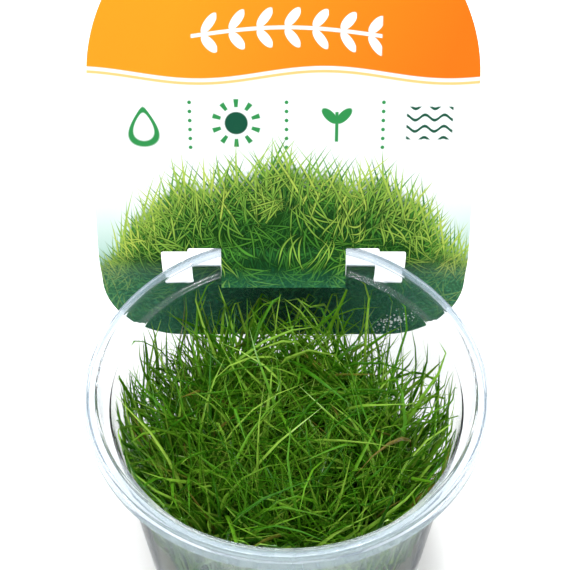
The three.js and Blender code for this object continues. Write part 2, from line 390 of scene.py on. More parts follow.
@dataclass(frozen=True)
class ClearPolypropylene(Finish):
    """Injection-moulded clear polypropylene: glossy and nearly clear, with a cool haze in its thick flange.

    Warm moist air has fogged the inside of the front wall in streaks, most of all close under the rim.
    """

    title: ClassVar[str] = "clear moulded polypropylene"
    rim_tint: str = "#EFF4F8"
    wall_tint: str = "#E3E5E3"
    milk: str = "#A9C0D2"
    # The drops are real fog, and their pale green is painted light from the grass behind them.
    drops_and_grass_light: str = "#E2EDDA"
    rim_ior: float = 1.17
    wall_ior: float = 1.04
    skin_ior: float = 1.49
    roughness: float = 0.012
    fogged_roughness: float = 0.1
    skin_roughness: float = 0.15
    rim_gloss: float = 0.55
    wall_gloss: float = 0.1
    flange_haze: float = 0.19
    wall_haze: float = 0.015
    fog: float = 0.42
    fog_top: float = 64.6
    fog_thins: float = 47.0
    fog_back: float = -24.0
    fog_blur: float = 16.0
    streak_width: float = 2.2
    streak_stretch: float = 0.16
    wall_top: float = 62.8
    ledge_low: float = 63.4
    rim_bottom: float = 64.8
    flange_inside: float = 47.9
    flange_outside: float = 49.0
    ripple: float = 7.0

    def surface(self, tree: NodeTree, place: Socket) -> Node:
        """Builds the shader: a clear body, with a milky share where the plastic is thick or fogged.

        Args:
            tree: The material's tree.
            place: The place on the piece, in metres.

        Returns:
            The shader's node.
        """
        side, back, height = in_millimetres(tree, place)
        # The thin wall bends and mirrors the light less than the thick rim does.
        thick = height.between(self.wall_top, self.rim_bottom)
        gloss = height.between(self.wall_top, self.ledge_low).mixed(self.wall_gloss, self.rim_gloss)
        sockets = {"Fac": thick, "Color1": self.wall_tint, "Color2": self.rim_tint}
        tint = add_node(tree, "ShaderNodeMixRGB", sockets)
        # Polypropylene is never quite clear: the flange scatters more light than the wall and the ledge.
        flange = side.length(back).between(self.flange_inside, self.flange_outside)
        haze = flange.mixed(self.wall_haze, self.flange_haze)
        # The drops have run down, so the streaks of fog are long and narrow.
        sockets = {"Vector": place, "Scale": (1.0, 1.0, self.streak_stretch)}
        streaks = add_node(tree, "ShaderNodeMapping", sockets)
        sockets = {"Vector": streaks, "Scale": 1 / (self.streak_width * MM), "Detail": 4.0}
        noise = add_node(tree, "ShaderNodeTexNoise", sockets)
        streaky = Field(tree, noise).math("MULTIPLY_ADD", 3.2, -1.1, clamp=True)
        front = back.below(self.fog_back, self.fog_blur) * height.below(self.fog_top, 0.8)
        front = front * height.above(self.fog_thins, self.fog_blur).mixed(0.15, 1.0)
        fogged = front * streaky.mixed(0.5, 0.9)
        cloudy = fogged.math("MULTIPLY_ADD", self.fog, haze, clamp=True)
        # A thin moulding is never quite flat: ripples some millimetres apart bend its glints.
        sockets = {"Vector": place, "Scale": 1 / (self.ripple * MM), "Detail": 2.0}
        noise = add_node(tree, "ShaderNodeTexNoise", sockets)
        ripples = {"Height": noise, "Strength": 0.01, "Distance": 0.0005}
        looks = {
            "Base Color": tint,
            "IOR": thick.mixed(self.wall_ior, self.rim_ior),
            "Transmission Weight": 1.0,
            "Roughness": fogged.math("MULTIPLY_ADD", self.fogged_roughness, self.roughness),
            "Coat Weight": gloss,
            "Coat Roughness": self.skin_roughness,
            "Coat IOR": self.skin_ior,
            "Normal": add_node(tree, "ShaderNodeBump", ripples),
        }
        clear = add_node(tree, "ShaderNodeBsdfPrincipled", looks)
        # The fog's colour is partly painted: its green stands in for light from the grass that shines through
        # it.
        cloud = add_node(tree, "ShaderNodeMixRGB", {"Fac": fogged, "Color1": self.milk, "Color2": self.drops_and_grass_light})
        milky = add_node(tree, "ShaderNodeBsdfDiffuse", {"Color": cloud})
        return add_node(tree, "ShaderNodeMixShader", {0: cloudy, 1: clear, 2: milky})


@dataclass(frozen=True)
class AgarGel(Finish):
    """Nutrient agar: a wet jelly, straw coloured and cloudy, with paler patches in it."""

    title: ClassVar[str] = "nutrient agar"
    tones: Stops = ((0.35, "#CFCBA2"), (0.65, "#EFEBD6"))
    ior: float = 1.34
    clearness: float = 0.6
    roughness: float = 0.25
    cloud: float = 9.0

    def surface(self, tree: NodeTree, place: Socket) -> Node:
        """Builds the shader: a cloudy body that lets a good part of the light through.

        Args:
            tree: The material's tree.
            place: The place on the piece, in metres.

        Returns:
            The shader's node.
        """
        sockets = {"Vector": place, "Scale": 1 / (self.cloud * MM), "Detail": 4.0}
        noise = add_node(tree, "ShaderNodeTexNoise", sockets)
        looks = {
            "Base Color": add_node(tree, "ShaderNodeValToRGB", {0: noise}, self.tones),
            "IOR": self.ior,
            "Transmission Weight": self.clearness,
            "Roughness": self.roughness,
        }
        return add_node(tree, "ShaderNodeBsdfPrincipled", looks)


@dataclass(frozen=True)
class GrassLeaf(Finish):
    """Living hairgrass leaf: smooth and waxy, with painted shade at its foot, and thin enough to glow in the
    light.
    """

    title: ClassVar[str] = "living grass leaf"
    tones: Stops = (
        (0.0, "#307010"),
        (0.25, "#478816"),
        (0.6, "#69A322"),
        (0.97, "#97C145"),
        (0.988, "#8A8434"),
        (1.0, "#7A6430"),
    )
    # Colour of the painted shade at the foot of a blade, which fades out over the share of the blade given by
    # sheath.
    foot: str = "#2E5410"
    sheath: float = 0.4
    glow: str = "#A2CB2C"
    glow_share: float = 0.28
    roughness: float = 0.26
    ior: float = 1.48
    fleck: float = 1.6

    def surface(self, tree: NodeTree, place: Socket) -> Node:
        """Builds the shader from the blades' attributes tone and along.

        Args:
            tree: The material's tree.
            place: The place on the piece, in metres.

        Returns:
            The shader's node.
        """
        tone = add_node(tree, "ShaderNodeAttribute", attribute_name="tone").outputs["Fac"]
        along = add_node(tree, "ShaderNodeAttribute", attribute_name="along").outputs["Fac"]
        blade = add_node(tree, "ShaderNodeValToRGB", {0: tone}, self.tones)
        # The sheath at the foot of a blade is in deep shade and stays dark.
        lit = Field(tree, along).between(0.0, self.sheath)
        body = add_node(tree, "ShaderNodeMixRGB", {"Fac": lit, "Color1": self.foot, "Color2": blade})
        sockets = {"Vector": place, "Scale": 1 / (self.fleck * MM), "Detail": 2.0}
        noise = add_node(tree, "ShaderNodeTexNoise", sockets)
        uneven = Field(tree, noise).between(0.3, 0.7).mixed(0.82, 1.12)
        leaf = add_node(tree, "ShaderNodeVectorMath", {0: body, 3: uneven}, operation="SCALE")
        looks = {"Base Color": leaf, "Roughness": self.roughness, "IOR": self.ior}
        skin = add_node(tree, "ShaderNodeBsdfPrincipled", looks)
        through = add_node(tree, "ShaderNodeMixRGB", {"Fac": 0.5, "Color1": leaf, "Color2": self.glow})
        light = add_node(tree, "ShaderNodeBsdfTranslucent", {"Color": through})
        return add_node(tree, "ShaderNodeMixShader", {0: self.glow_share, 1: skin, 2: light})


@dataclass(frozen=True)
class Fringe:
    """A printed layer of upright blades along the top of the band, with their tips spread over the rise."""

    slant: float
    spacing: float
    rise: float
    light: float


@dataclass(frozen=True)
class Thatch:
    """A printed layer of blades that cross at random, four to a square cell. Lean and spread are radians."""

    size: float
    lean: float
    spread: float
    width: float
    light: float


class Sheet:
    """A sheet while it is printed: where a place on it lies in millimetres, and the colour there so far."""

    def __init__(self, tree: NodeTree, place: Socket, rim_height: float, white: str) -> None:
        """Starts from the bare sheet.

        Args:
            tree: The material's tree.
            place: The place on the sheet, in metres.
            rim_height: Height of the cup's rim, from which heights on the sheet are measured.
            white: Colour of the bare sheet.
        """
        self.tree = tree
        self.place = place
        self.across, _, height = in_millimetres(tree, place)
        self.up = height - rim_height
        self.colour: Node | str = white

    def ink(self, colour: Node | str, mask: Field) -> None:
        """Prints a colour over what is there, as far as the mask is 1."""
        sockets = {"Fac": mask, "Color1": self.colour, "Color2": colour}
        self.colour = add_node(self.tree, "ShaderNodeMixRGB", sockets)


@dataclass(frozen=True)
class PrintedSheet(Finish):
    """Offset print on a white polypropylene sheet, under a satin varnish.

    Every height is measured from the rim of the cup and every width from the middle of the label.
    """

    title: ClassVar[str] = "offset print on white polypropylene sheet"
    rim_height: float = 70.0
    edge_blur: float = 0.3
    header_edge: float = 49.8
    header_wave: tuple[float, float, float] = (64.0, 1.6, 0.1)
    header_left: str = "#EA941C"
    header_right: str = "#EB7010"
    header_line: str = "#FBC27A"
    sprig_height: float = 59.0
    sprig_wave: tuple[float, float, float] = (96.0, 2.2, 0.25)
    sprig_reach: float = 24.0
    sprig_spacing: float = 7.0
    marks_height: float = 36.5
    marks_across: tuple[float, ...] = (-37.0, -13.0, 13.0, 37.0)
    dots_across: tuple[float, ...] = (-25.0, 0.0, 25.0)
    band_top: float = 27.5
    band_waves: tuple[tuple[float, float, float], ...] = ((31.0, 1.5, 0.3), (13.0, 0.9, 0.4))
    white: str = "#F4FCFB"
    icon: str = "#2E8B4A"
    icon_dark: str = "#12503A"
    ground: Stops = (
        (0.0, "#3F7A1C"),
        (0.22, "#1D4A0C"),
        (0.42, "#133F12"),
        (0.62, "#17502F"),
        (0.8, "#195640"),
        (1.0, "#1C5A48"),
    )
    leaves: Stops = (
        (0.0, "#123C20"),
        (0.25, "#1E5822"),
        (0.5, "#4A8A2C"),
        (0.75, "#86B043"),
        (1.0, "#B2C854"),
    )
    layers: tuple[Fringe | Thatch, ...] = (
        Fringe(-0.5, 1.3, 9.0, 0.3),
        Fringe(0.5, 1.5, 11.0, 0.4),
        Thatch(8.0, 0.2, 2.4, 0.03, 0.2),
        Thatch(9.0, -0.2, 2.2, 0.026, 0.26),
        Fringe(0.1, 1.9, 12.0, 0.55),
        Thatch(7.5, 0.5, 2.0, 0.03, 0.32),
        Thatch(9.0, -0.5, 2.4, 0.024, 0.42),
        Thatch(8.0, 0.1, 1.8, 0.026, 0.38),
        Fringe(-0.25, 1.8, 12.0, 0.66),
        Thatch(9.0, -0.3, 2.2, 0.022, 0.48),
        Thatch(10.5, 0.4, 2.0, 0.019, 0.58),
        Fringe(0.75, 2.2, 11.0, 0.7),
        Thatch(9.0, 0.9, 1.6, 0.021, 0.52),
        Thatch(10.5, -0.9, 1.6, 0.018, 0.62),
        Fringe(0.2, 2.6, 14.0, 0.76),
        Fringe(-0.7, 2.4, 11.0, 0.7),
        Thatch(8.5, 0.0, 2.6, 0.022, 0.68),
    )
    crossing: tuple[tuple[float, float], ...] = ((-0.2, 0.3), (0.02, -0.1), (0.24, -0.34), (-0.08, 0.75))
    layer_turn: float = 0.65
    warp: float = 14.0
    haze: str = "#3C866A"
    wash: str = "#6FB59C"
    mottle_dark: str = "#0E3630"
    mottle_light: str = "#4C9A70"
    shadow: str = "#0A2A0A"
    fleck: float = 0.85
    specular: float = 0.1
    roughness: float = 0.3
    grain: float = 1.5

    def surface(self, tree: NodeTree, place: Socket) -> Node:
        """Builds the shader of the printed face.

        Args:
            tree: The material's tree.
            place: The place on the piece, in metres.

        Returns:
            The shader's node.
        """
        sheet = Sheet(tree, place, self.rim_height, self.white)
        self.header(sheet)
        self.marks(sheet)
        self.meadow(sheet)
        self.flecks(sheet)
        sockets = {"Vector": place, "Scale": 1 / (self.grain * MM), "Detail": 2.0}
        noise = add_node(tree, "ShaderNodeTexNoise", sockets)
        grain = {"Height": noise, "Strength": 0.05, "Distance": 0.0002}
        looks = {
            "Base Color": sheet.colour,
            "Roughness": self.roughness,
            "Specular IOR Level": self.specular,
            "Normal": add_node(tree, "ShaderNodeBump", grain),
        }
        return add_node(tree, "ShaderNodeBsdfPrincipled", looks)

    def header(self, sheet: Sheet) -> None:
        """Prints the warm header with its wavy lower edge, and a curved stem with pairs of leaves along it.

        Args:
            sheet: The sheet.
        """
        across, up, blur = sheet.across, sheet.up, self.edge_blur
        blend = (across - up * 0.3).between(-48.0, 26.0)
        sockets = {"Fac": blend, "Color1": self.header_left, "Color2": self.header_right}
        edge = across.wave(*self.header_wave) + self.header_edge
        sheet.ink(add_node(sheet.tree, "ShaderNodeMixRGB", sockets), up.above(edge, blur))
        sheet.ink(self.header_line, up.above(edge - 1.7, blur) * up.below(edge - 0.9, blur))
        spacing = self.sprig_spacing
        aside = (up - across.wave(*self.sprig_wave) - self.sprig_height).size()
        along = (across + 0.5 * spacing).math("FLOORED_MODULO", spacing) - 0.5 * spacing
        leaf = leaf_shape(along * 0.62 + aside * 0.78 - 3.0, aside * 0.62 - along * 0.78 - 0.4, 8.2, 1.5)
        sprig = aside.below(0.45, 0.25).math("MAXIMUM", leaf.below(1.0, 0.25))
        sheet.ink("#FFFFFF", sprig * across.size().below(self.sprig_reach, 0.4))

    def marks(self, sheet: Sheet) -> None:
        """Prints the picture marks of the white field: a drop, a sun, a sprout, ripples, and dots between.

        Args:
            sheet: The sheet.
        """
        across, up, blur = sheet.across, sheet.up - self.marks_height, self.edge_blur
        drop_at, sun_at, sprout_at, ripples_at = self.marks_across
        x, y = across - drop_at, up + 1.0
        narrow = y.math("MULTIPLY_ADD", -0.11, 1.0).math("MAXIMUM", 0.05)
        drop = ((x * x).math("DIVIDE", narrow * narrow) + y * y * 0.45).math("SQRT")
        sheet.ink(self.icon, drop.below(3.6, blur))
        sheet.ink(self.white, drop.below(2.5, blur))
        x = across - sun_at
        far = x.length(up)
        sheet.ink(self.icon_dark, far.below(3.0, blur))
        ray = (up.math("ARCTAN2", x) * (10 / (2 * math.pi))).math("FRACT") - 0.5
        sheet.ink(self.icon, ray.size().below(0.17, 0.06) * far.above(4.2, blur) * far.below(6.4, blur))
        x, y = (across - sprout_at).size(), up + 5.0
        stem = x.below(0.45, 0.25) * y.above(0.0, blur) * y.below(8.0, blur)
        leaf = leaf_shape(x * 0.71 + y * 0.71 - 6.2, y * 0.71 - x * 0.71 - 3.6, 7.5, 1.6)
        sheet.ink(self.icon, stem.math("MAXIMUM", leaf.below(1.0, blur)))
        x = across - ripples_at
        ripple = (up + x.wave(5.0, 0.7)).math("FLOORED_MODULO", 3.0) - 1.5
        patch = x.size().below(6.0, blur) * up.size().below(4.4, blur)
        sheet.ink(self.icon_dark, ripple.size().below(0.4, 0.2) * patch)
        row = sheet.up.math("FLOORED_MODULO", 2.4) - 1.2
        for x in self.dots_across:
            sheet.ink(self.icon, (across - x).length(row).below(0.5, 0.2) * up.size().below(7.0, blur))

    def meadow(self, sheet: Sheet) -> None:
        """Prints the band of water grass: a deep ground that darkens downwards, then layers of blades.

        Args:
            sheet: The sheet.
        """
        tree, across, up = sheet.tree, sheet.across, sheet.up
        bow = across * across
        long_wave, short_wave = (across.wave(*wave) for wave in self.band_waves)
        top = long_wave + short_wave + self.band_top
        depth = top - bow * (1 / 165.0) - bow * bow * (1 / 600000.0) - up
        side = across.size().above(36.0, 24.0)
        sheet.ink(self.wash, up.below(6.0, 24.0) * side * 0.8)
        ground = add_node(tree, "ShaderNodeValToRGB", {0: depth * (1 / 60.0) - side * 0.2}, self.ground)
        sheet.ink(ground, depth.above(6.5, 5.0))
        thick = depth.above(5.0, 5.0)
        shaded = depth.above(6.0, 8.0) * side.mixed(0.75, 0.3)
        tone = side * 0.08 - depth.math("MULTIPLY", 1 / 46.0, clamp=True) * 0.5
        place = add_node(tree, "ShaderNodeCombineXYZ", {"X": across, "Y": up})
        turned = 0.0
        for number, layer in enumerate(self.layers):
            if isinstance(layer, Fringe):
                gap, chance = self.fringe(sheet, depth, layer, number)
            else:
                # Each layer's cells are warped and turned a little more, so that no grid shows.
                sockets = {"Vector": place, "Scale": 1 / self.warp, "Detail": 0.0}
                warp = add_node(tree, "ShaderNodeTexNoise", sockets)
                sockets = {0: warp.outputs["Color"], 1: (2.6, 2.6, 0.0), 2: place}
                moved = add_node(tree, "ShaderNodeVectorMath", sockets, operation="MULTIPLY_ADD")
                turn = (0.0, 0.0, self.layer_turn)
                sockets = {"Vector": moved, "Location": (7.3, 4.1, 0.0), "Rotation": turn}
                place = add_node(tree, "ShaderNodeMapping", sockets)
                turned += self.layer_turn
                gap, chance = self.thatch(tree, place, turned, layer)
            near = gap.math("MULTIPLY_ADD", 2.2, 0.9, clamp=True) * shaded
            blade = gap.math("MULTIPLY_ADD", 7.0, 0.5, clamp=True)
            if isinstance(layer, Thatch):
                near, blade = near * thick, blade * thick
            sheet.ink(self.shadow, near)
            light = chance * 0.4 + layer.light + tone
            sheet.ink(add_node(tree, "ShaderNodeValToRGB", {0: light}, self.leaves), blade)
        low = up.below(-7.0, 8.0)
        sheet.ink(self.haze, low * 0.45)
        noise = add_node(tree, "ShaderNodeTexNoise", {"Vector": place, "Scale": 1 / 0.9, "Detail": 3.0})
        sheet.ink(self.mottle_dark, Field(tree, noise).below(0.48, 0.12) * low * 0.38)
        sheet.ink(self.mottle_light, Field(tree, noise).above(0.6, 0.1) * low * 0.5)

    def fringe(self, sheet: Sheet, depth: Field, layer: Fringe, number: int) -> tuple[Field, Field]:
        """Draws one layer of upright blades, one to a column.

        Args:
            sheet: The sheet.
            depth: Depth under the top of the band.
            layer: The layer's lean, spacing and height.
            number: Which layer it is, so that no two have the same columns.

        Returns:
            How far inside a blade the place is, in millimetres, and a random number for the blade.
        """
        fan = sheet.across.math("MULTIPLY_ADD", -1 / 95.0, -layer.slant)
        bent = (sheet.up - 20.0).math("MULTIPLY_ADD", fan, sheet.across)
        cell = bent * (1 / layer.spacing) + 31.7 * number
        column = cell.math("FLOOR")
        noises = [
            add_node(sheet.tree, "ShaderNodeTexWhiteNoise", {"W": key}, noise_dimensions="1D")
            for key in (column, column + 0.41)
        ]
        chance, other = [Field(sheet.tree, noise) for noise in noises]
        tip = other.mixed(-0.55 * layer.rise, 0.45 * layer.rise) + depth
        lean = tip * tip * 0.011 * (chance - 0.5)
        aside = (cell - column - 0.5 + lean) * layer.spacing
        width = (tip * 0.045).math("MINIMUM", 0.28)
        return width.math("MINIMUM", (tip - 14.0) * -0.06) - aside.size(), chance

    def thatch(self, tree: NodeTree, place: Node, turned: float, layer: Thatch) -> tuple[Field, Field]:
        """Draws one layer of crossing blades, four to a cell.

        Args:
            tree: The material's tree.
            place: The place on the sheet, in this layer's own turned grid.
            turned: How far the grid is turned, in radians.
            layer: The layer's cell size, lean, spread and width of blade.

        Returns:
            How far inside a blade the place is, in millimetres, and a random number for the cell.
        """
        cells = add_node(tree, "ShaderNodeVectorMath", {0: place, "Scale": 1 / layer.size}, operation="SCALE")
        corner = add_node(tree, "ShaderNodeVectorMath", {0: cells}, operation="FLOOR")
        inside = add_node(tree, "ShaderNodeVectorMath", {0: cells}, operation="FRACTION")
        noise = add_node(tree, "ShaderNodeTexWhiteNoise", {"Vector": corner}, noise_dimensions="3D")
        chances = add_node(tree, "ShaderNodeSeparateXYZ", {0: noise.outputs["Color"]})
        chance, other, third = [Field(tree, part) for part in chances.outputs]
        turn = chance.math("MULTIPLY_ADD", layer.spread, layer.lean - layer.spread / 2 - turned)
        sockets = {"Vector": inside, "Center": (0.5, 0.5, 0.0), "Angle": turn}
        blade = add_node(tree, "ShaderNodeVectorRotate", sockets, rotation_type="Z_AXIS")
        parts = add_node(tree, "ShaderNodeSeparateXYZ", {0: blade})
        x, y = [Field(tree, parts.outputs[axis]) - 0.5 for axis in "XY"]
        bow = y * y
        middle = bow.math("MULTIPLY_ADD", other.mixed(-0.6, 0.6), x)
        lines = [(middle + shift + y * slope).size() for shift, slope in self.crossing]
        gap = lines[0]
        for line in lines[1:]:
            gap = gap.math("MINIMUM", line)
        return (bow.math("MULTIPLY_ADD", -5.0 * layer.width, layer.width) - gap) * layer.size, third

    def flecks(self, sheet: Sheet) -> None:
        """Leaves white flecks where the ink has flaked off, low on the right of the sheet.

        Args:
            sheet: The sheet.
        """
        sockets = {"Vector": sheet.place, "Scale": 1 / (self.fleck * MM)}
        dots = Field(sheet.tree, add_node(sheet.tree, "ShaderNodeTexVoronoi", sockets))
        x, y = sheet.across - 31.0, sheet.up + 28.0
        patch = leaf_shape(x * 0.85 + y * 0.5, y * 0.85 - x * 0.5, 110.0, 26.0).math("SQRT")
        flake = patch.math("MULTIPLY_ADD", -0.5, 0.52) - dots
        sheet.ink(self.white, flake.math("MULTIPLY_ADD", 12.0, 0.5, clamp=True))


@dataclass(frozen=True)
class PlainSheet(Finish):
    """The unprinted back and cut edges of the same polypropylene sheet: satin white, greyed by painted shade,
    a little blotchy.
    """

    title: ClassVar[str] = "white polypropylene sheet"
    # Both whites are greyer than the printed face: painted shade, so that the back does not glare in the
    # bright set.
    light: str = "#D9DEDC"
    dark: str = "#CCD2D0"
    roughness: float = 0.38
    blotch: float = 14.0

    def surface(self, tree: NodeTree, place: Socket) -> Node:
        """Builds the shader.

        Args:
            tree: The material's tree.
            place: The place on the piece, in metres.

        Returns:
            The shader's node.
        """
        sockets = {"Vector": place, "Scale": 1 / (self.blotch * MM), "Detail": 3.0}
        noise = add_node(tree, "ShaderNodeTexNoise", sockets)
        # The greyed white of the back is painted shade, blotched at random.
        tint = add_node(tree, "ShaderNodeMixRGB", {"Fac": noise, "Color1": self.dark, "Color2": self.light})
        return add_node(tree, "ShaderNodeBsdfPrincipled", {"Base Color": tint, "Roughness": self.roughness})


@dataclass(frozen=True)
class StudioPaper(Finish):
    """The white paper that the cup stands on: matt and lit through from below, so that shadows stay faint."""

    title: ClassVar[str] = "white studio paper"
    light: str = "#FBFBFB"
    dark: str = "#F8F9FA"
    cloud: float = 125.0
    roughness: float = 0.9
    glow: float = 0.2

    def surface(self, tree: NodeTree, place: Socket) -> Node:
        """Builds the shader.

        Args:
            tree: The material's tree.
            place: The place on the piece, in metres.

        Returns:
            The shader's node.
        """
        noise = add_node(tree, "ShaderNodeTexNoise", {"Vector": place, "Scale": 1 / (self.cloud * MM)})
        tint = add_node(tree, "ShaderNodeMixRGB", {"Fac": noise, "Color1": self.light, "Color2": self.dark})
        looks = {
            "Base Color": tint,
            "Roughness": self.roughness,
            "Emission Color": "#FFFFFF",
            "Emission Strength": self.glow,
        }
        return add_node(tree, "ShaderNodeBsdfPrincipled", looks)


@dataclass
class CultureCup:
    """The round clear cup: a thin tapered wall, a ledge for a lid under a sloped collar, and a flange."""

    height: float = 70.0
    sides: int = 192
    plastic: float = 0.7
    base: float = 1.2
    base_corner: float = 3.0
    skirt_radius: float = 51.35
    skirt_drop: float = 4.4
    bead_drop: float = 1.7
    rim_radius: float = 50.5
    rim_rounding: float = 0.6
    collar_top: float = 47.6
    collar_low: float = 46.5
    collar_fillet: float = 0.8
    ledge_radius: float = 44.6
    ledge_drop: float = 6.1
    ledge_fall: float = 0.04
    ledge_rounding: float = 0.45
    taper: float = 0.1
    finish: ClearPolypropylene = field(default_factory=ClearPolypropylene)

    def inner_wall(self, z: float | np.ndarray) -> float | np.ndarray:
        """Gives the radius of the wall's inner face at a height."""
        return self.ledge_radius - self.taper * (self.height - self.ledge_drop - z)

    def outside(self) -> Outline:
        """Draws the outside's section, from the underside up the wall and down the skirt to its outer face.

        Returns:
            The points as radius and height.
        """
        corner, plastic, top, skirt = self.base_corner, self.plastic, self.height, self.skirt_radius
        ledge = top - self.ledge_drop
        below = ledge - plastic
        points = arc((self.inner_wall(corner) + plastic - corner, corner), corner, -90, 0, 7)
        points += [(self.inner_wall(below - 0.1) + plastic, below - 0.1)]
        points += [(self.ledge_radius + plastic + 0.3, below + 0.05)]
        points += arc((self.collar_low + plastic - 0.6, below + 0.65), 0.6, -90, -8, 4)
        points += arc((self.collar_top + plastic + 0.2, top - plastic - 0.2), 0.2, 180, 90, 3)
        points += arc((self.rim_radius - plastic - 0.2, top - plastic - 0.2), 0.2, 90, 10, 3)
        points += [(skirt - plastic, top - self.skirt_drop), (skirt - 0.1, top - self.skirt_drop)]
        points += [(skirt, top - self.skirt_drop + 0.12), (skirt - 0.1, top - self.bead_drop - 0.25)]
        return points + [(skirt - 0.25, top - self.bead_drop), (self.rim_radius, top - self.bead_drop + 0.15)]

    def inside(self) -> Outline:
        """Draws the inside's section, over the rim, down to the ledge and down the wall to the floor.

        Returns:
            The points as radius and height.
        """
        top, rim, fillet, edge = self.height, self.rim_rounding, self.collar_fillet, self.ledge_rounding
        ledge = top - self.ledge_drop
        points = arc((self.rim_radius - 0.62, top - rim), rim, 10, 90, 5)
        points += arc((self.collar_top + 0.5, top - 0.5), 0.5, 90, 187, 5)
        points += arc((self.collar_low - fillet, ledge + fillet + self.ledge_fall), fillet, -5, -88, 6)
        points += arc((self.ledge_radius + edge, ledge - edge), edge, 88, 178, 5)
        corner = self.base_corner - self.plastic
        low = self.base + corner
        return points + arc((self.inner_wall(low) - corner, low), corner, 0, -90, 6)

    def build(self) -> Piece:
        """Models the cup and puts it in place of its solid.

        Returns:
            The cup.
        """
        cup = turned("culture_cup_looks", self.outside() + self.inside(), self.sides)
        shade(cup, 32)
        cup.data.materials.append(self.finish.material())
        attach(cup, "root")
        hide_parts("culture_cup")
        return cup


@dataclass
class NutrientGel:
    """The disc of nutrient gel: flat on the cup's floor, with a meniscus where it meets the wall."""

    cup: CultureCup
    sides: int = 96
    top: float = 11.0
    clearance: float = 0.25
    floor: float = 1.5
    corner: float = 1.4
    meniscus: float = 0.9
    finish: AgarGel = field(default_factory=AgarGel)

    def build(self) -> Piece:
        """Models the gel and puts it in place of its solid.

        Returns:
            The gel.
        """
        low, middle, wide = (self.cup.inner_wall(z) - self.clearance for z in (self.floor, 4.0, self.top))
        low -= self.corner
        sunk = self.top - self.meniscus
        profile = [(low - 0.6, self.floor), (low, self.floor + 0.25), (middle, 4.0), (wide, self.top)]
        profile += [(wide - 0.3, self.top - 0.15), (wide - 1.2, sunk), (wide - 3.0, sunk - 0.25)]
        profile += [(wide / 2, sunk - 0.3)]
        gel = turned("nutrient_gel_looks", profile, self.sides)
        shade(gel, 50)
        gel.data.materials.append(self.finish.material())
        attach(gel, "root")
        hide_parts("nutrient_gel")
        return gel


class Habit(Enum):
    """How a blade grows."""

    YOUNG = "young"
    UPRIGHT = "upright"
    ARCHING = "arching"
    LYING = "lying"


@dataclass(frozen=True)
class Growth:
    """The ranges that a habit's blades are drawn from. Angles are degrees from upright."""

    share: float
    length: tuple[float, float]
    lean: tuple[float, float]
    droop: tuple[float, float]
    start: tuple[float, float]
    half_width: tuple[float, float]


GROWTHS = {
    Habit.YOUNG: Growth(0.18, (20, 38), (0, 20), (5, 35), (0.0, 0.4), (0.26, 0.42)),
    Habit.UPRIGHT: Growth(0.44, (38, 55), (0, 17), (10, 50), (0.0, 0.5), (0.34, 0.62)),
    Habit.ARCHING: Growth(0.33, (42, 60), (4, 22), (35, 75), (0.15, 0.5), (0.38, 0.68)),
    Habit.LYING: Growth(0.05, (56, 72), (4, 18), (70, 96), (0.4, 0.6), (0.4, 0.64)),
}


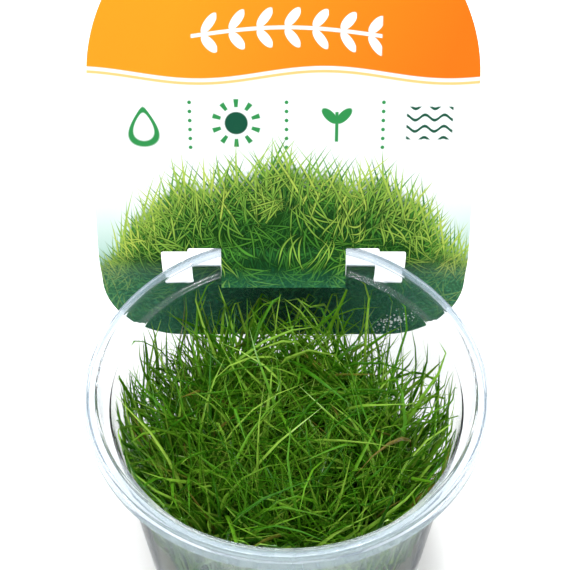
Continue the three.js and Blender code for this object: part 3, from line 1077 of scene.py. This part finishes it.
@dataclass
class Turf:
    """The tufts of fine blades. Each one stands where the frame has its sheaf and is one joined mesh."""

    cup: CultureCup
    gel_top: float = 10.2
    blades: int = 165
    outer_tuft: float = 20.0
    outer_growth: float = 1.65
    blade_widths: tuple[float, ...] = (0.55, 0.8, 0.95, 1.0, 0.98, 0.92, 0.83, 0.68, 0.45, 0.05)
    foot_spread: float = 8.2
    foot_clearance: float = 0.9
    wall_clearance: float = 0.7
    ceiling: float = 64.5
    flatness: float = 0.36
    bare_edge: float = 3.6
    bare_towards: float = 62.0
    kinked: float = 0.04
    kink: float = 0.55
    tongue_half_width: float = 18.5
    tongue_low: float = 57.0
    tongue_front: float = 36.0
    finish: GrassLeaf = field(default_factory=GrassLeaf)

    @property
    def steps(self) -> int:
        """Gives the number of steps along a blade."""
        return len(self.blade_widths) - 1

    def blade_pattern(self) -> Pattern:
        """Models one straight blade, a millimetre to a step, and gives its mesh as arrays.

        Returns:
            Each corner's step, its place across the blade in half widths, and the corners of each face.
        """
        blade = turned("blade_pattern", [(width, float(i)) for i, width in enumerate(self.blade_widths)], 4)
        corners = corners_of(blade)
        faces = np.array([list(p.vertices) for p in blade.data.polygons if len(p.vertices) == 4])
        mesh = blade.data
        bpy.data.objects.remove(blade)
        bpy.data.meshes.remove(mesh)
        return np.rint(corners[:, 2]).astype(int), corners[:, :2], faces

    def draw(self, random: np.random.Generator, foot: np.ndarray, count: int, habit: Habit) -> Blades:
        """Draws the growth of some blades of one habit.

        Args:
            random: The seeded generator.
            foot: Middle of the tuft on the gel.
            count: How many blades.
            habit: How they grow.

        Returns:
            Named arrays with one value for each blade.
        """
        growth = GROWTHS[habit]
        spin = random.uniform(0, 2 * math.pi, count)
        out = np.sqrt(random.uniform(0, 1, count)) * self.foot_spread
        feet = foot + np.stack([np.cos(spin), np.sin(spin)], axis=1) * out[:, None]
        # The turf is thin at the back of the cup, so its edge stays off the wall there.
        bearing = np.arctan2(feet[:, 1], feet[:, 0]) - math.radians(self.bare_towards)
        bare = self.bare_edge * np.clip(0.3 + np.cos(bearing), 0, 1.3) / 1.3
        limit = self.cup.inner_wall(self.gel_top) - self.foot_clearance - bare
        far = np.maximum(np.hypot(feet[:, 0], feet[:, 1]), 1e-6)
        feet *= np.minimum(1, limit / far)[:, None]
        inward = np.arctan2(-feet[:, 1], -feet[:, 0])
        azimuth = random.uniform(0, 2 * math.pi, count)
        turned_in = random.uniform(0, 1, count) < 0.75 * bare / self.bare_edge
        azimuth = np.where(turned_in, inward + random.normal(0, 0.8, count), azimuth)
        kink = np.where(random.uniform(0, 1, count) < self.kinked, random.integers(4, 8, count), self.steps)
        return {
            "foot_x": feet[:, 0],
            "foot_y": feet[:, 1],
            "azimuth": azimuth,
            "kink": kink,
            "length": random.uniform(*growth.length, count),
            "lean": np.radians(random.uniform(*growth.lean, count)),
            "droop": np.radians(random.uniform(*growth.droop, count)),
            "start": random.uniform(*growth.start, count),
            "sway": random.normal(0, 0.8, count),
            "wobble": random.uniform(0, 2 * math.pi, count),
            "half_width": random.uniform(*growth.half_width, count),
            "tone": random.uniform(0, 1, count) ** 1.1,
            "turn": random.uniform(0, math.pi, count),
        }

    def grow(self, drawn: Blades) -> np.ndarray:
        """Follows each blade from its foot, step by step, along the wall where it meets it.

        Args:
            drawn: The drawn growth of every blade.

        Returns:
            Points in millimetres, as blade by step by axis.
        """
        count = len(drawn["length"])
        points = np.zeros((count, self.steps + 1, 3))
        points[:, 0] = np.stack([drawn["foot_x"], drawn["foot_y"], np.full(count, self.gel_top)], axis=1)
        step = drawn["length"] / self.steps
        for i in range(self.steps):
            t = (i + 0.5) / self.steps
            bend = np.clip((t - drawn["start"]) / (1 - drawn["start"]), 0, 1)
            folded = np.where(drawn["kink"] <= i, 1.0, 0.0)
            lean = drawn["lean"] + drawn["droop"] * bend**0.8 + folded * self.kink
            azimuth = drawn["azimuth"] + drawn["sway"] * t + 0.22 * np.sin(6 * t + drawn["wobble"]) + folded
            flat = np.sin(lean)
            way = np.stack([flat * np.cos(azimuth), flat * np.sin(azimuth), np.cos(lean)], axis=1)
            before = points[:, i]
            after = before + way * step[:, None]
            reach = self.cup.inner_wall(np.minimum(after[:, 2], self.ceiling)) - self.wall_clearance
            far = np.maximum(np.hypot(after[:, 0], after[:, 1]), 1e-6)
            after[:, :2] *= np.minimum(1, reach / far)[:, None]
            # A blade that the wall stops keeps its length and slides up or down the wall.
            moved = np.hypot(after[:, 0] - before[:, 0], after[:, 1] - before[:, 1])
            rise = np.sqrt(np.maximum(step**2 - moved**2, 0))
            slid = before[:, 2] + np.where(way[:, 2] < -0.2, -rise, rise)
            after[:, 2] = np.clip(np.where(far > reach, slid, after[:, 2]), self.gel_top, self.ceiling)
            behind = (np.abs(after[:, 0]) < self.tongue_half_width) & (after[:, 2] > self.tongue_low)
            behind &= after[:, 1] > self.tongue_front
            after[:, 1] = np.where(behind, self.tongue_front, after[:, 1])
            points[:, i + 1] = after
        return points

    def clothe(self, points: np.ndarray, drawn: Blades, rings: np.ndarray, across: np.ndarray) -> np.ndarray:
        """Lays the blade pattern's corners along grown lines.

        Args:
            points: The lines, as blade by step by axis.
            drawn: The drawn growth of every blade.
            rings: The pattern's step for each corner.
            across: The pattern's place across for each corner.

        Returns:
            Corners in metres, as blade by corner by axis.
        """
        turn = drawn["turn"]
        way = np.gradient(points, axis=1)
        way /= np.maximum(np.linalg.norm(way, axis=2, keepdims=True), 1e-9)
        flat = np.stack([np.cos(turn), np.sin(turn), np.zeros(len(turn))], axis=1)
        side = np.cross(way, np.broadcast_to(flat[:, None], way.shape))
        side /= np.maximum(np.linalg.norm(side, axis=2, keepdims=True), 1e-9)
        face = np.cross(side, way)
        wide = drawn["half_width"][:, None, None]
        spot = points[:, rings]
        spot = spot + side[:, rings] * across[None, :, 0:1] * wide
        spot = spot + face[:, rings] * across[None, :, 1:2] * wide * self.flatness
        return spot * MM

    def tuft(self, name: str, random: np.random.Generator, pattern: Pattern) -> Piece:
        """Builds one tuft as a joined mesh and puts it in place of its solid.

        Args:
            name: The tuft's node.
            random: The seeded generator.
            pattern: The blade pattern's steps, places across and faces.

        Returns:
            The tuft.
        """
        rings, across, faces = pattern
        solid = corners_of(bpy.data.objects[name])
        low = solid[solid[:, 2] < solid[:, 2].min() + 1.0]
        foot = (low[:, :2].min(axis=0) + low[:, :2].max(axis=0)) / 2
        blades = self.blades * (self.outer_growth if np.hypot(*foot) > self.outer_tuft else 1)
        shares = {habit: round(blades * growth.share) for habit, growth in GROWTHS.items()}
        parts = [self.draw(random, foot, count, habit) for habit, count in shares.items()]
        drawn = {key: np.concatenate([part[key] for part in parts]) for key in parts[0]}
        spots = self.clothe(self.grow(drawn), drawn, rings, across)
        count, corners, _ = spots.shape
        loops = (faces[None] + (np.arange(count) * corners)[:, None, None]).reshape(-1, 4)
        mesh = bpy.data.meshes.new(name + "_looks")
        mesh.from_pydata(spots.reshape(-1, 3).tolist(), [], loops.tolist())
        tone = np.repeat(drawn["tone"], corners).astype(np.float32)
        along = np.tile(rings / self.steps, count).astype(np.float32)
        for attribute, values in (("tone", tone), ("along", along)):
            mesh.attributes.new(attribute, "FLOAT", "POINT").data.foreach_set("value", values)
        mesh.validate()
        piece = bpy.data.objects.new(name + "_looks", mesh)
        bpy.context.scene.collection.objects.link(piece)
        # The ridges along a blade stay crisp, and its bends are smooth.
        shade(piece, 30.0)
        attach(piece, "root")
        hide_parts(name)
        return piece

    def build(self, names: Sequence[str]) -> list[Piece]:
        """Builds every tuft.

        Args:
            names: The tufts' nodes, in the order in which they draw from the generator.

        Returns:
            The tufts in the same order.
        """
        random = np.random.default_rng(SEED)
        pattern = self.blade_pattern()
        material = self.finish.material()
        tufts = [self.tuft(name, random, pattern) for name in names]
        for piece in tufts:
            piece.data.materials.append(material)
        return tufts


@dataclass
class PlantLabel:
    """The domed plant label: a leaning sheet bent over the rim, with two windows and a tongue inside the cup.

    Heights are measured from the level of the rim.
    """

    rim: float = 70.0
    sheet: float = 0.5
    offset: float = -0.8
    half_width: float = 50.15
    lean: float = 19.0
    depth_at_rim: float = 44.4
    bottom: float = -33.3
    low_corner: float = 21.0
    dome_start: float = 47.2
    bend_low: float = -13.0
    bend_high: float = 1.0
    bend_low_depth: float = 45.35
    taper: float = 0.1
    window_top: tuple[float, float] = (0.8, 1.5)
    window_step: float = 26.0
    window_outer: float = 33.2
    window_outer_top: float = 0.55
    window_bottom: float = -12.7
    window_rounding: float = 0.6
    tab: tuple[float, float, float] = (17.25, 25.2, -4.9)
    slot_bottom: float = -11.2
    tongue_half_width: float = 16.9
    tongue_steps: int = 16
    tongue: Sequence[tuple[float, float]] = (
        (45.02, 1.8),
        (44.68, 0.9),
        (43.15, -0.6),
        (41.35, -4.7),
        (39.5, -8.8),
    )
    printed: PrintedSheet = field(default_factory=PrintedSheet)
    plain: PlainSheet = field(default_factory=PlainSheet)

    def depth(self, z: np.ndarray) -> np.ndarray:
        """Gives the depth of the sheet's middle: beside the wall, round the bend, then leaning back.

        Args:
            z: Heights.

        Returns:
            The depth at each height.
        """
        lean = math.tan(math.radians(self.lean))
        span = self.bend_high - self.bend_low
        t = np.clip((z - self.bend_low) / span, 0, 1)
        bend = (1 + 2 * t) * (1 - t) ** 2 * self.bend_low_depth + t * (1 - t) ** 2 * span * self.taper
        bend = bend + t * t * (3 - 2 * t) * (self.depth_at_rim + lean * self.bend_high)
        bend = bend + t * t * (t - 1) * span * lean
        low = self.bend_low_depth + self.taper * (z - self.bend_low)
        high = self.depth_at_rim + lean * z
        return np.where(z <= self.bend_low, low, np.where(z >= self.bend_high, high, bend))

    def tongue_line(self, shares: np.ndarray) -> np.ndarray:
        """Follows the middle of the tongue, with its crease rounded a little.

        Args:
            shares: Places as shares of the way along it.

        Returns:
            Depth and height at each place.
        """
        line = np.array(self.tongue)
        lengths = np.concatenate([[0], np.cumsum(np.linalg.norm(np.diff(line, axis=0), axis=1))])
        spread = np.linspace(-0.7, 0.7, 7)
        near = np.clip((shares * lengths[-1])[:, None] + spread, 0, lengths[-1])
        return np.stack([np.interp(near, lengths, line[:, axis]).mean(axis=1) for axis in (0, 1)], axis=1)

    def flat_plate(self) -> Piece:
        """Models the sheet while it is flat, upright in the plane of the rim's middle.

        Returns:
            The plate, with its outline and its windows.
        """
        half, side = self.sheet / 2, self.half_width
        plate = box("plant_label_looks", (-side, -half, self.bottom), (side, half, self.dome_start))
        low = (self.bottom + 1) * MM
        round_edges(
            plate, lambda a, b: max(a.z, b.z) < low and abs(a.x - b.x) < MM, self.low_corner, 14
        )
        deselect()
        bpy.ops.mesh.primitive_cylinder_add(
            vertices=160,
            radius=side * MM,
            depth=self.sheet * MM,
            location=(0, 0, self.dome_start * MM),
            rotation=(math.pi / 2, 0, 0),
        )
        dome = bpy.context.object
        settle(dome)
        bpy.ops.object.mode_set(mode="EDIT")
        bpy.ops.mesh.select_all(action="SELECT")
        squash = math.cos(math.radians(self.lean))
        bpy.ops.transform.resize(value=(1, 1, squash), center_override=(0, 0, self.dome_start * MM))
        bpy.ops.object.mode_set(mode="OBJECT")
        combine(plate, dome, "UNION")
        for (x_low, z_low), (x_high, z_high) in self.cuts():
            cutter = box("cut", (x_low, -5, z_low), (x_high, 5, z_high))
            round_edges(cutter, lambda a, b: abs(a.y - b.y) > MM, self.window_rounding, 4)
            combine(plate, cutter, "DIFFERENCE")
        return plate

    def cuts(self) -> list[tuple[tuple[float, float], tuple[float, float]]]:
        """Gives the rectangles that are cut out: the tongue's slot and the two parts of each window.

        Returns:
            The lowest and the highest corner of each.
        """
        inner, outer, tab_top = self.tab
        cuts = [((-inner, self.slot_bottom), (inner, self.window_top[0] - 0.1))]
        for side in (1, -1):
            for (x_low, z_low), (x_high, z_high) in (
                ((inner - 0.5, tab_top), (self.window_step, self.window_top[1])),
                ((outer, self.window_bottom), (self.window_outer, self.window_outer_top)),
            ):
                low, high = sorted((side * x_low, side * x_high))
                cuts.append(((low, z_low), (high, z_high)))
        return cuts

    def rows(self, piece: Piece, heights: Sequence[float]) -> None:
        """Cuts rows of edges across a flat piece, so that it can bend between them.

        Args:
            piece: The flat piece.
            heights: Where the rows go.
        """
        choose(piece)
        bpy.ops.object.mode_set(mode="EDIT")
        for height in heights:
            bpy.ops.mesh.select_all(action="SELECT")
            bpy.ops.mesh.bisect(plane_co=(0, 0, height * MM), plane_no=(0, 0, 1))
        bpy.ops.object.mode_set(mode="OBJECT")

    def bend_plate(self, plate: Piece) -> None:
        """Moves the flat plate's corners to the leaning and bent sheet. The bend tool would need a window.

        Args:
            plate: The flat plate.
        """
        self.rows(plate, np.linspace(self.bend_low - 1, self.bend_high + 0.5, 17))
        flat = corners_of(plate)
        z = flat[:, 2].copy()
        small = 0.01
        slope = (self.depth(z + small) - self.depth(z - small)) / (2 * small)
        length = np.sqrt(1 + slope**2)
        flat[:, 2] = z - flat[:, 1] * slope / length + self.rim
        flat[:, 1] = self.depth(z) + flat[:, 1] / length
        reshape(plate, flat)

    def hang_tongue(self) -> Piece:
        """Models the tongue: a strip that leaves the plate, creases over the rim and hangs inside the wall.

        Returns:
            The tongue.
        """
        half, side, steps = self.sheet / 2, self.tongue_half_width, self.tongue_steps
        tongue = box("tongue", (-side, -half, 0), (side, half, steps))
        self.rows(tongue, range(1, steps))
        flat = corners_of(tongue)
        shares = flat[:, 2] / steps
        small = 0.01
        line = self.tongue_line(shares)
        ahead, behind = np.minimum(shares + small, 1), np.maximum(shares - small, 0)
        way = self.tongue_line(ahead) - self.tongue_line(behind)
        way /= np.linalg.norm(way, axis=1, keepdims=True)
        offset = flat[:, 1].copy()
        flat[:, 1] = line[:, 0] - offset * way[:, 1]
        flat[:, 2] = line[:, 1] + offset * way[:, 0] + self.rim
        reshape(tongue, flat)
        return tongue

    def build(self) -> Piece:
        """Models the label and puts it in place of its solid, with the print on the faces that look forward.

        Returns:
            The label.
        """
        label = self.flat_plate()
        self.bend_plate(label)
        tongue = self.hang_tongue()
        choose(label)
        tongue.select_set(True)
        bpy.ops.object.join()
        face_outwards(label)
        reshape(label, corners_of(label) + (self.offset, 0, 0))
        label.data.materials.append(self.plain.material())
        label.data.materials.append(self.printed.material())
        for face in label.data.polygons:
            face.material_index = int(face.normal.y < -0.3 and abs(face.normal.x) < 0.1)
        shade(label, 25)
        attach(label, "root")
        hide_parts("plant_label")
        return label


@dataclass
class Studio:
    """A bright table-top set: paper floor, white walls, a broad soft light and a small one for glints."""

    floor_size: float = 6000.0
    floor_drop: float = 0.1
    camera_aside: float = -0.39
    camera_back: float = 237.0
    camera_height: float = 382.2
    camera_tilt: float = 40.85
    lens: float = 97.9
    walls: Stops = ((0.0, "#D2D9E0"), (0.4, "#FFFFFF"))
    wall_light: float = 0.78
    key_power: float = 4.3
    key_size: float = 420.0
    key_place: tuple[float, float, float] = (-90.0, -40.0, 760.0)
    glint_power: float = 2.4
    glint_size: float = 100.0
    glint_place: tuple[float, float, float] = (120.0, 165.0, 740.0)
    lights_aim: float = 50.0
    paper: StudioPaper = field(default_factory=StudioPaper)

    def build(self) -> None:
        """Sets up the floor, the surroundings, the lights and the camera."""
        deselect()
        bpy.ops.mesh.primitive_plane_add(size=self.floor_size * MM, location=(0, 0, -self.floor_drop * MM))
        floor = bpy.context.object
        floor.name = "studio_floor"
        settle(floor)
        floor.data.materials.append(self.paper.material())
        self.surroundings()
        self.hang_light("key_light", self.key_place, self.key_size, self.key_power)
        self.hang_light("glint_light", self.glint_place, self.glint_size, self.glint_power)
        self.camera()

    def surroundings(self) -> None:
        """Surrounds the set with white walls that turn a cool grey towards the horizon."""
        world = bpy.data.worlds.new("white studio")
        world.use_nodes = True
        tree = world.node_tree
        tree.nodes.clear()
        way = add_node(tree, "ShaderNodeTexCoord").outputs["Generated"]
        up = add_node(tree, "ShaderNodeSeparateXYZ", {0: way}).outputs["Z"]
        ramp = add_node(tree, "ShaderNodeValToRGB", {0: up}, self.walls)
        light = add_node(tree, "ShaderNodeBackground", {"Color": ramp, "Strength": self.wall_light})
        add_node(tree, "ShaderNodeOutputWorld", {"Surface": light})
        bpy.context.scene.world = world

    def hang_light(self, name: str, spot: Sequence[float], size: float, power: float) -> None:
        """Hangs a round light over the set and turns it to the cup.

        Args:
            name: What the light is for.
            spot: Its place.
            size: Its width.
            power: Its power in watts.
        """
        place = Vector(spot) * MM
        bpy.ops.object.light_add(type="AREA", location=place)
        lamp = bpy.context.object
        lamp.name = name
        lamp.data.shape = "DISK"
        lamp.data.size = size * MM
        lamp.data.energy = power
        aim = Vector((0, 0, self.lights_aim)) * MM - place
        lamp.rotation_euler = aim.to_track_quat("-Z", "Y").to_euler()

    def camera(self) -> None:
        """Stands the camera where the photograph was taken from: in front of the cup, looking down on it."""
        place = (self.camera_aside * MM, -self.camera_back * MM, self.camera_height * MM)
        bpy.ops.object.camera_add(location=place, rotation=(math.radians(self.camera_tilt), 0, 0))
        camera = bpy.context.object
        camera.name = "photo_camera"
        camera.data.sensor_width = 36.0
        camera.data.lens = self.lens
        camera.data.clip_start = 0.01
        bpy.context.scene.camera = camera


def main() -> None:
    """Loads the frame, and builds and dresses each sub-assembly."""
    logging.basicConfig(level=logging.INFO, format="%(name)s: %(message)s")
    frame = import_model()
    bpy.context.scene.view_settings.view_transform = "Standard"
    cup = CultureCup()
    pieces = [cup.build(), NutrientGel(cup).build()]
    pieces += Turf(cup).build(sorted(name for name in frame["nodes"] if name.startswith("tuft_")))
    pieces.append(PlantLabel().build())
    for piece in pieces:
        log.info("%s: %d faces", piece.name, len(piece.data.polygons))
    Studio().build()


if __name__ == "__main__":
    main()
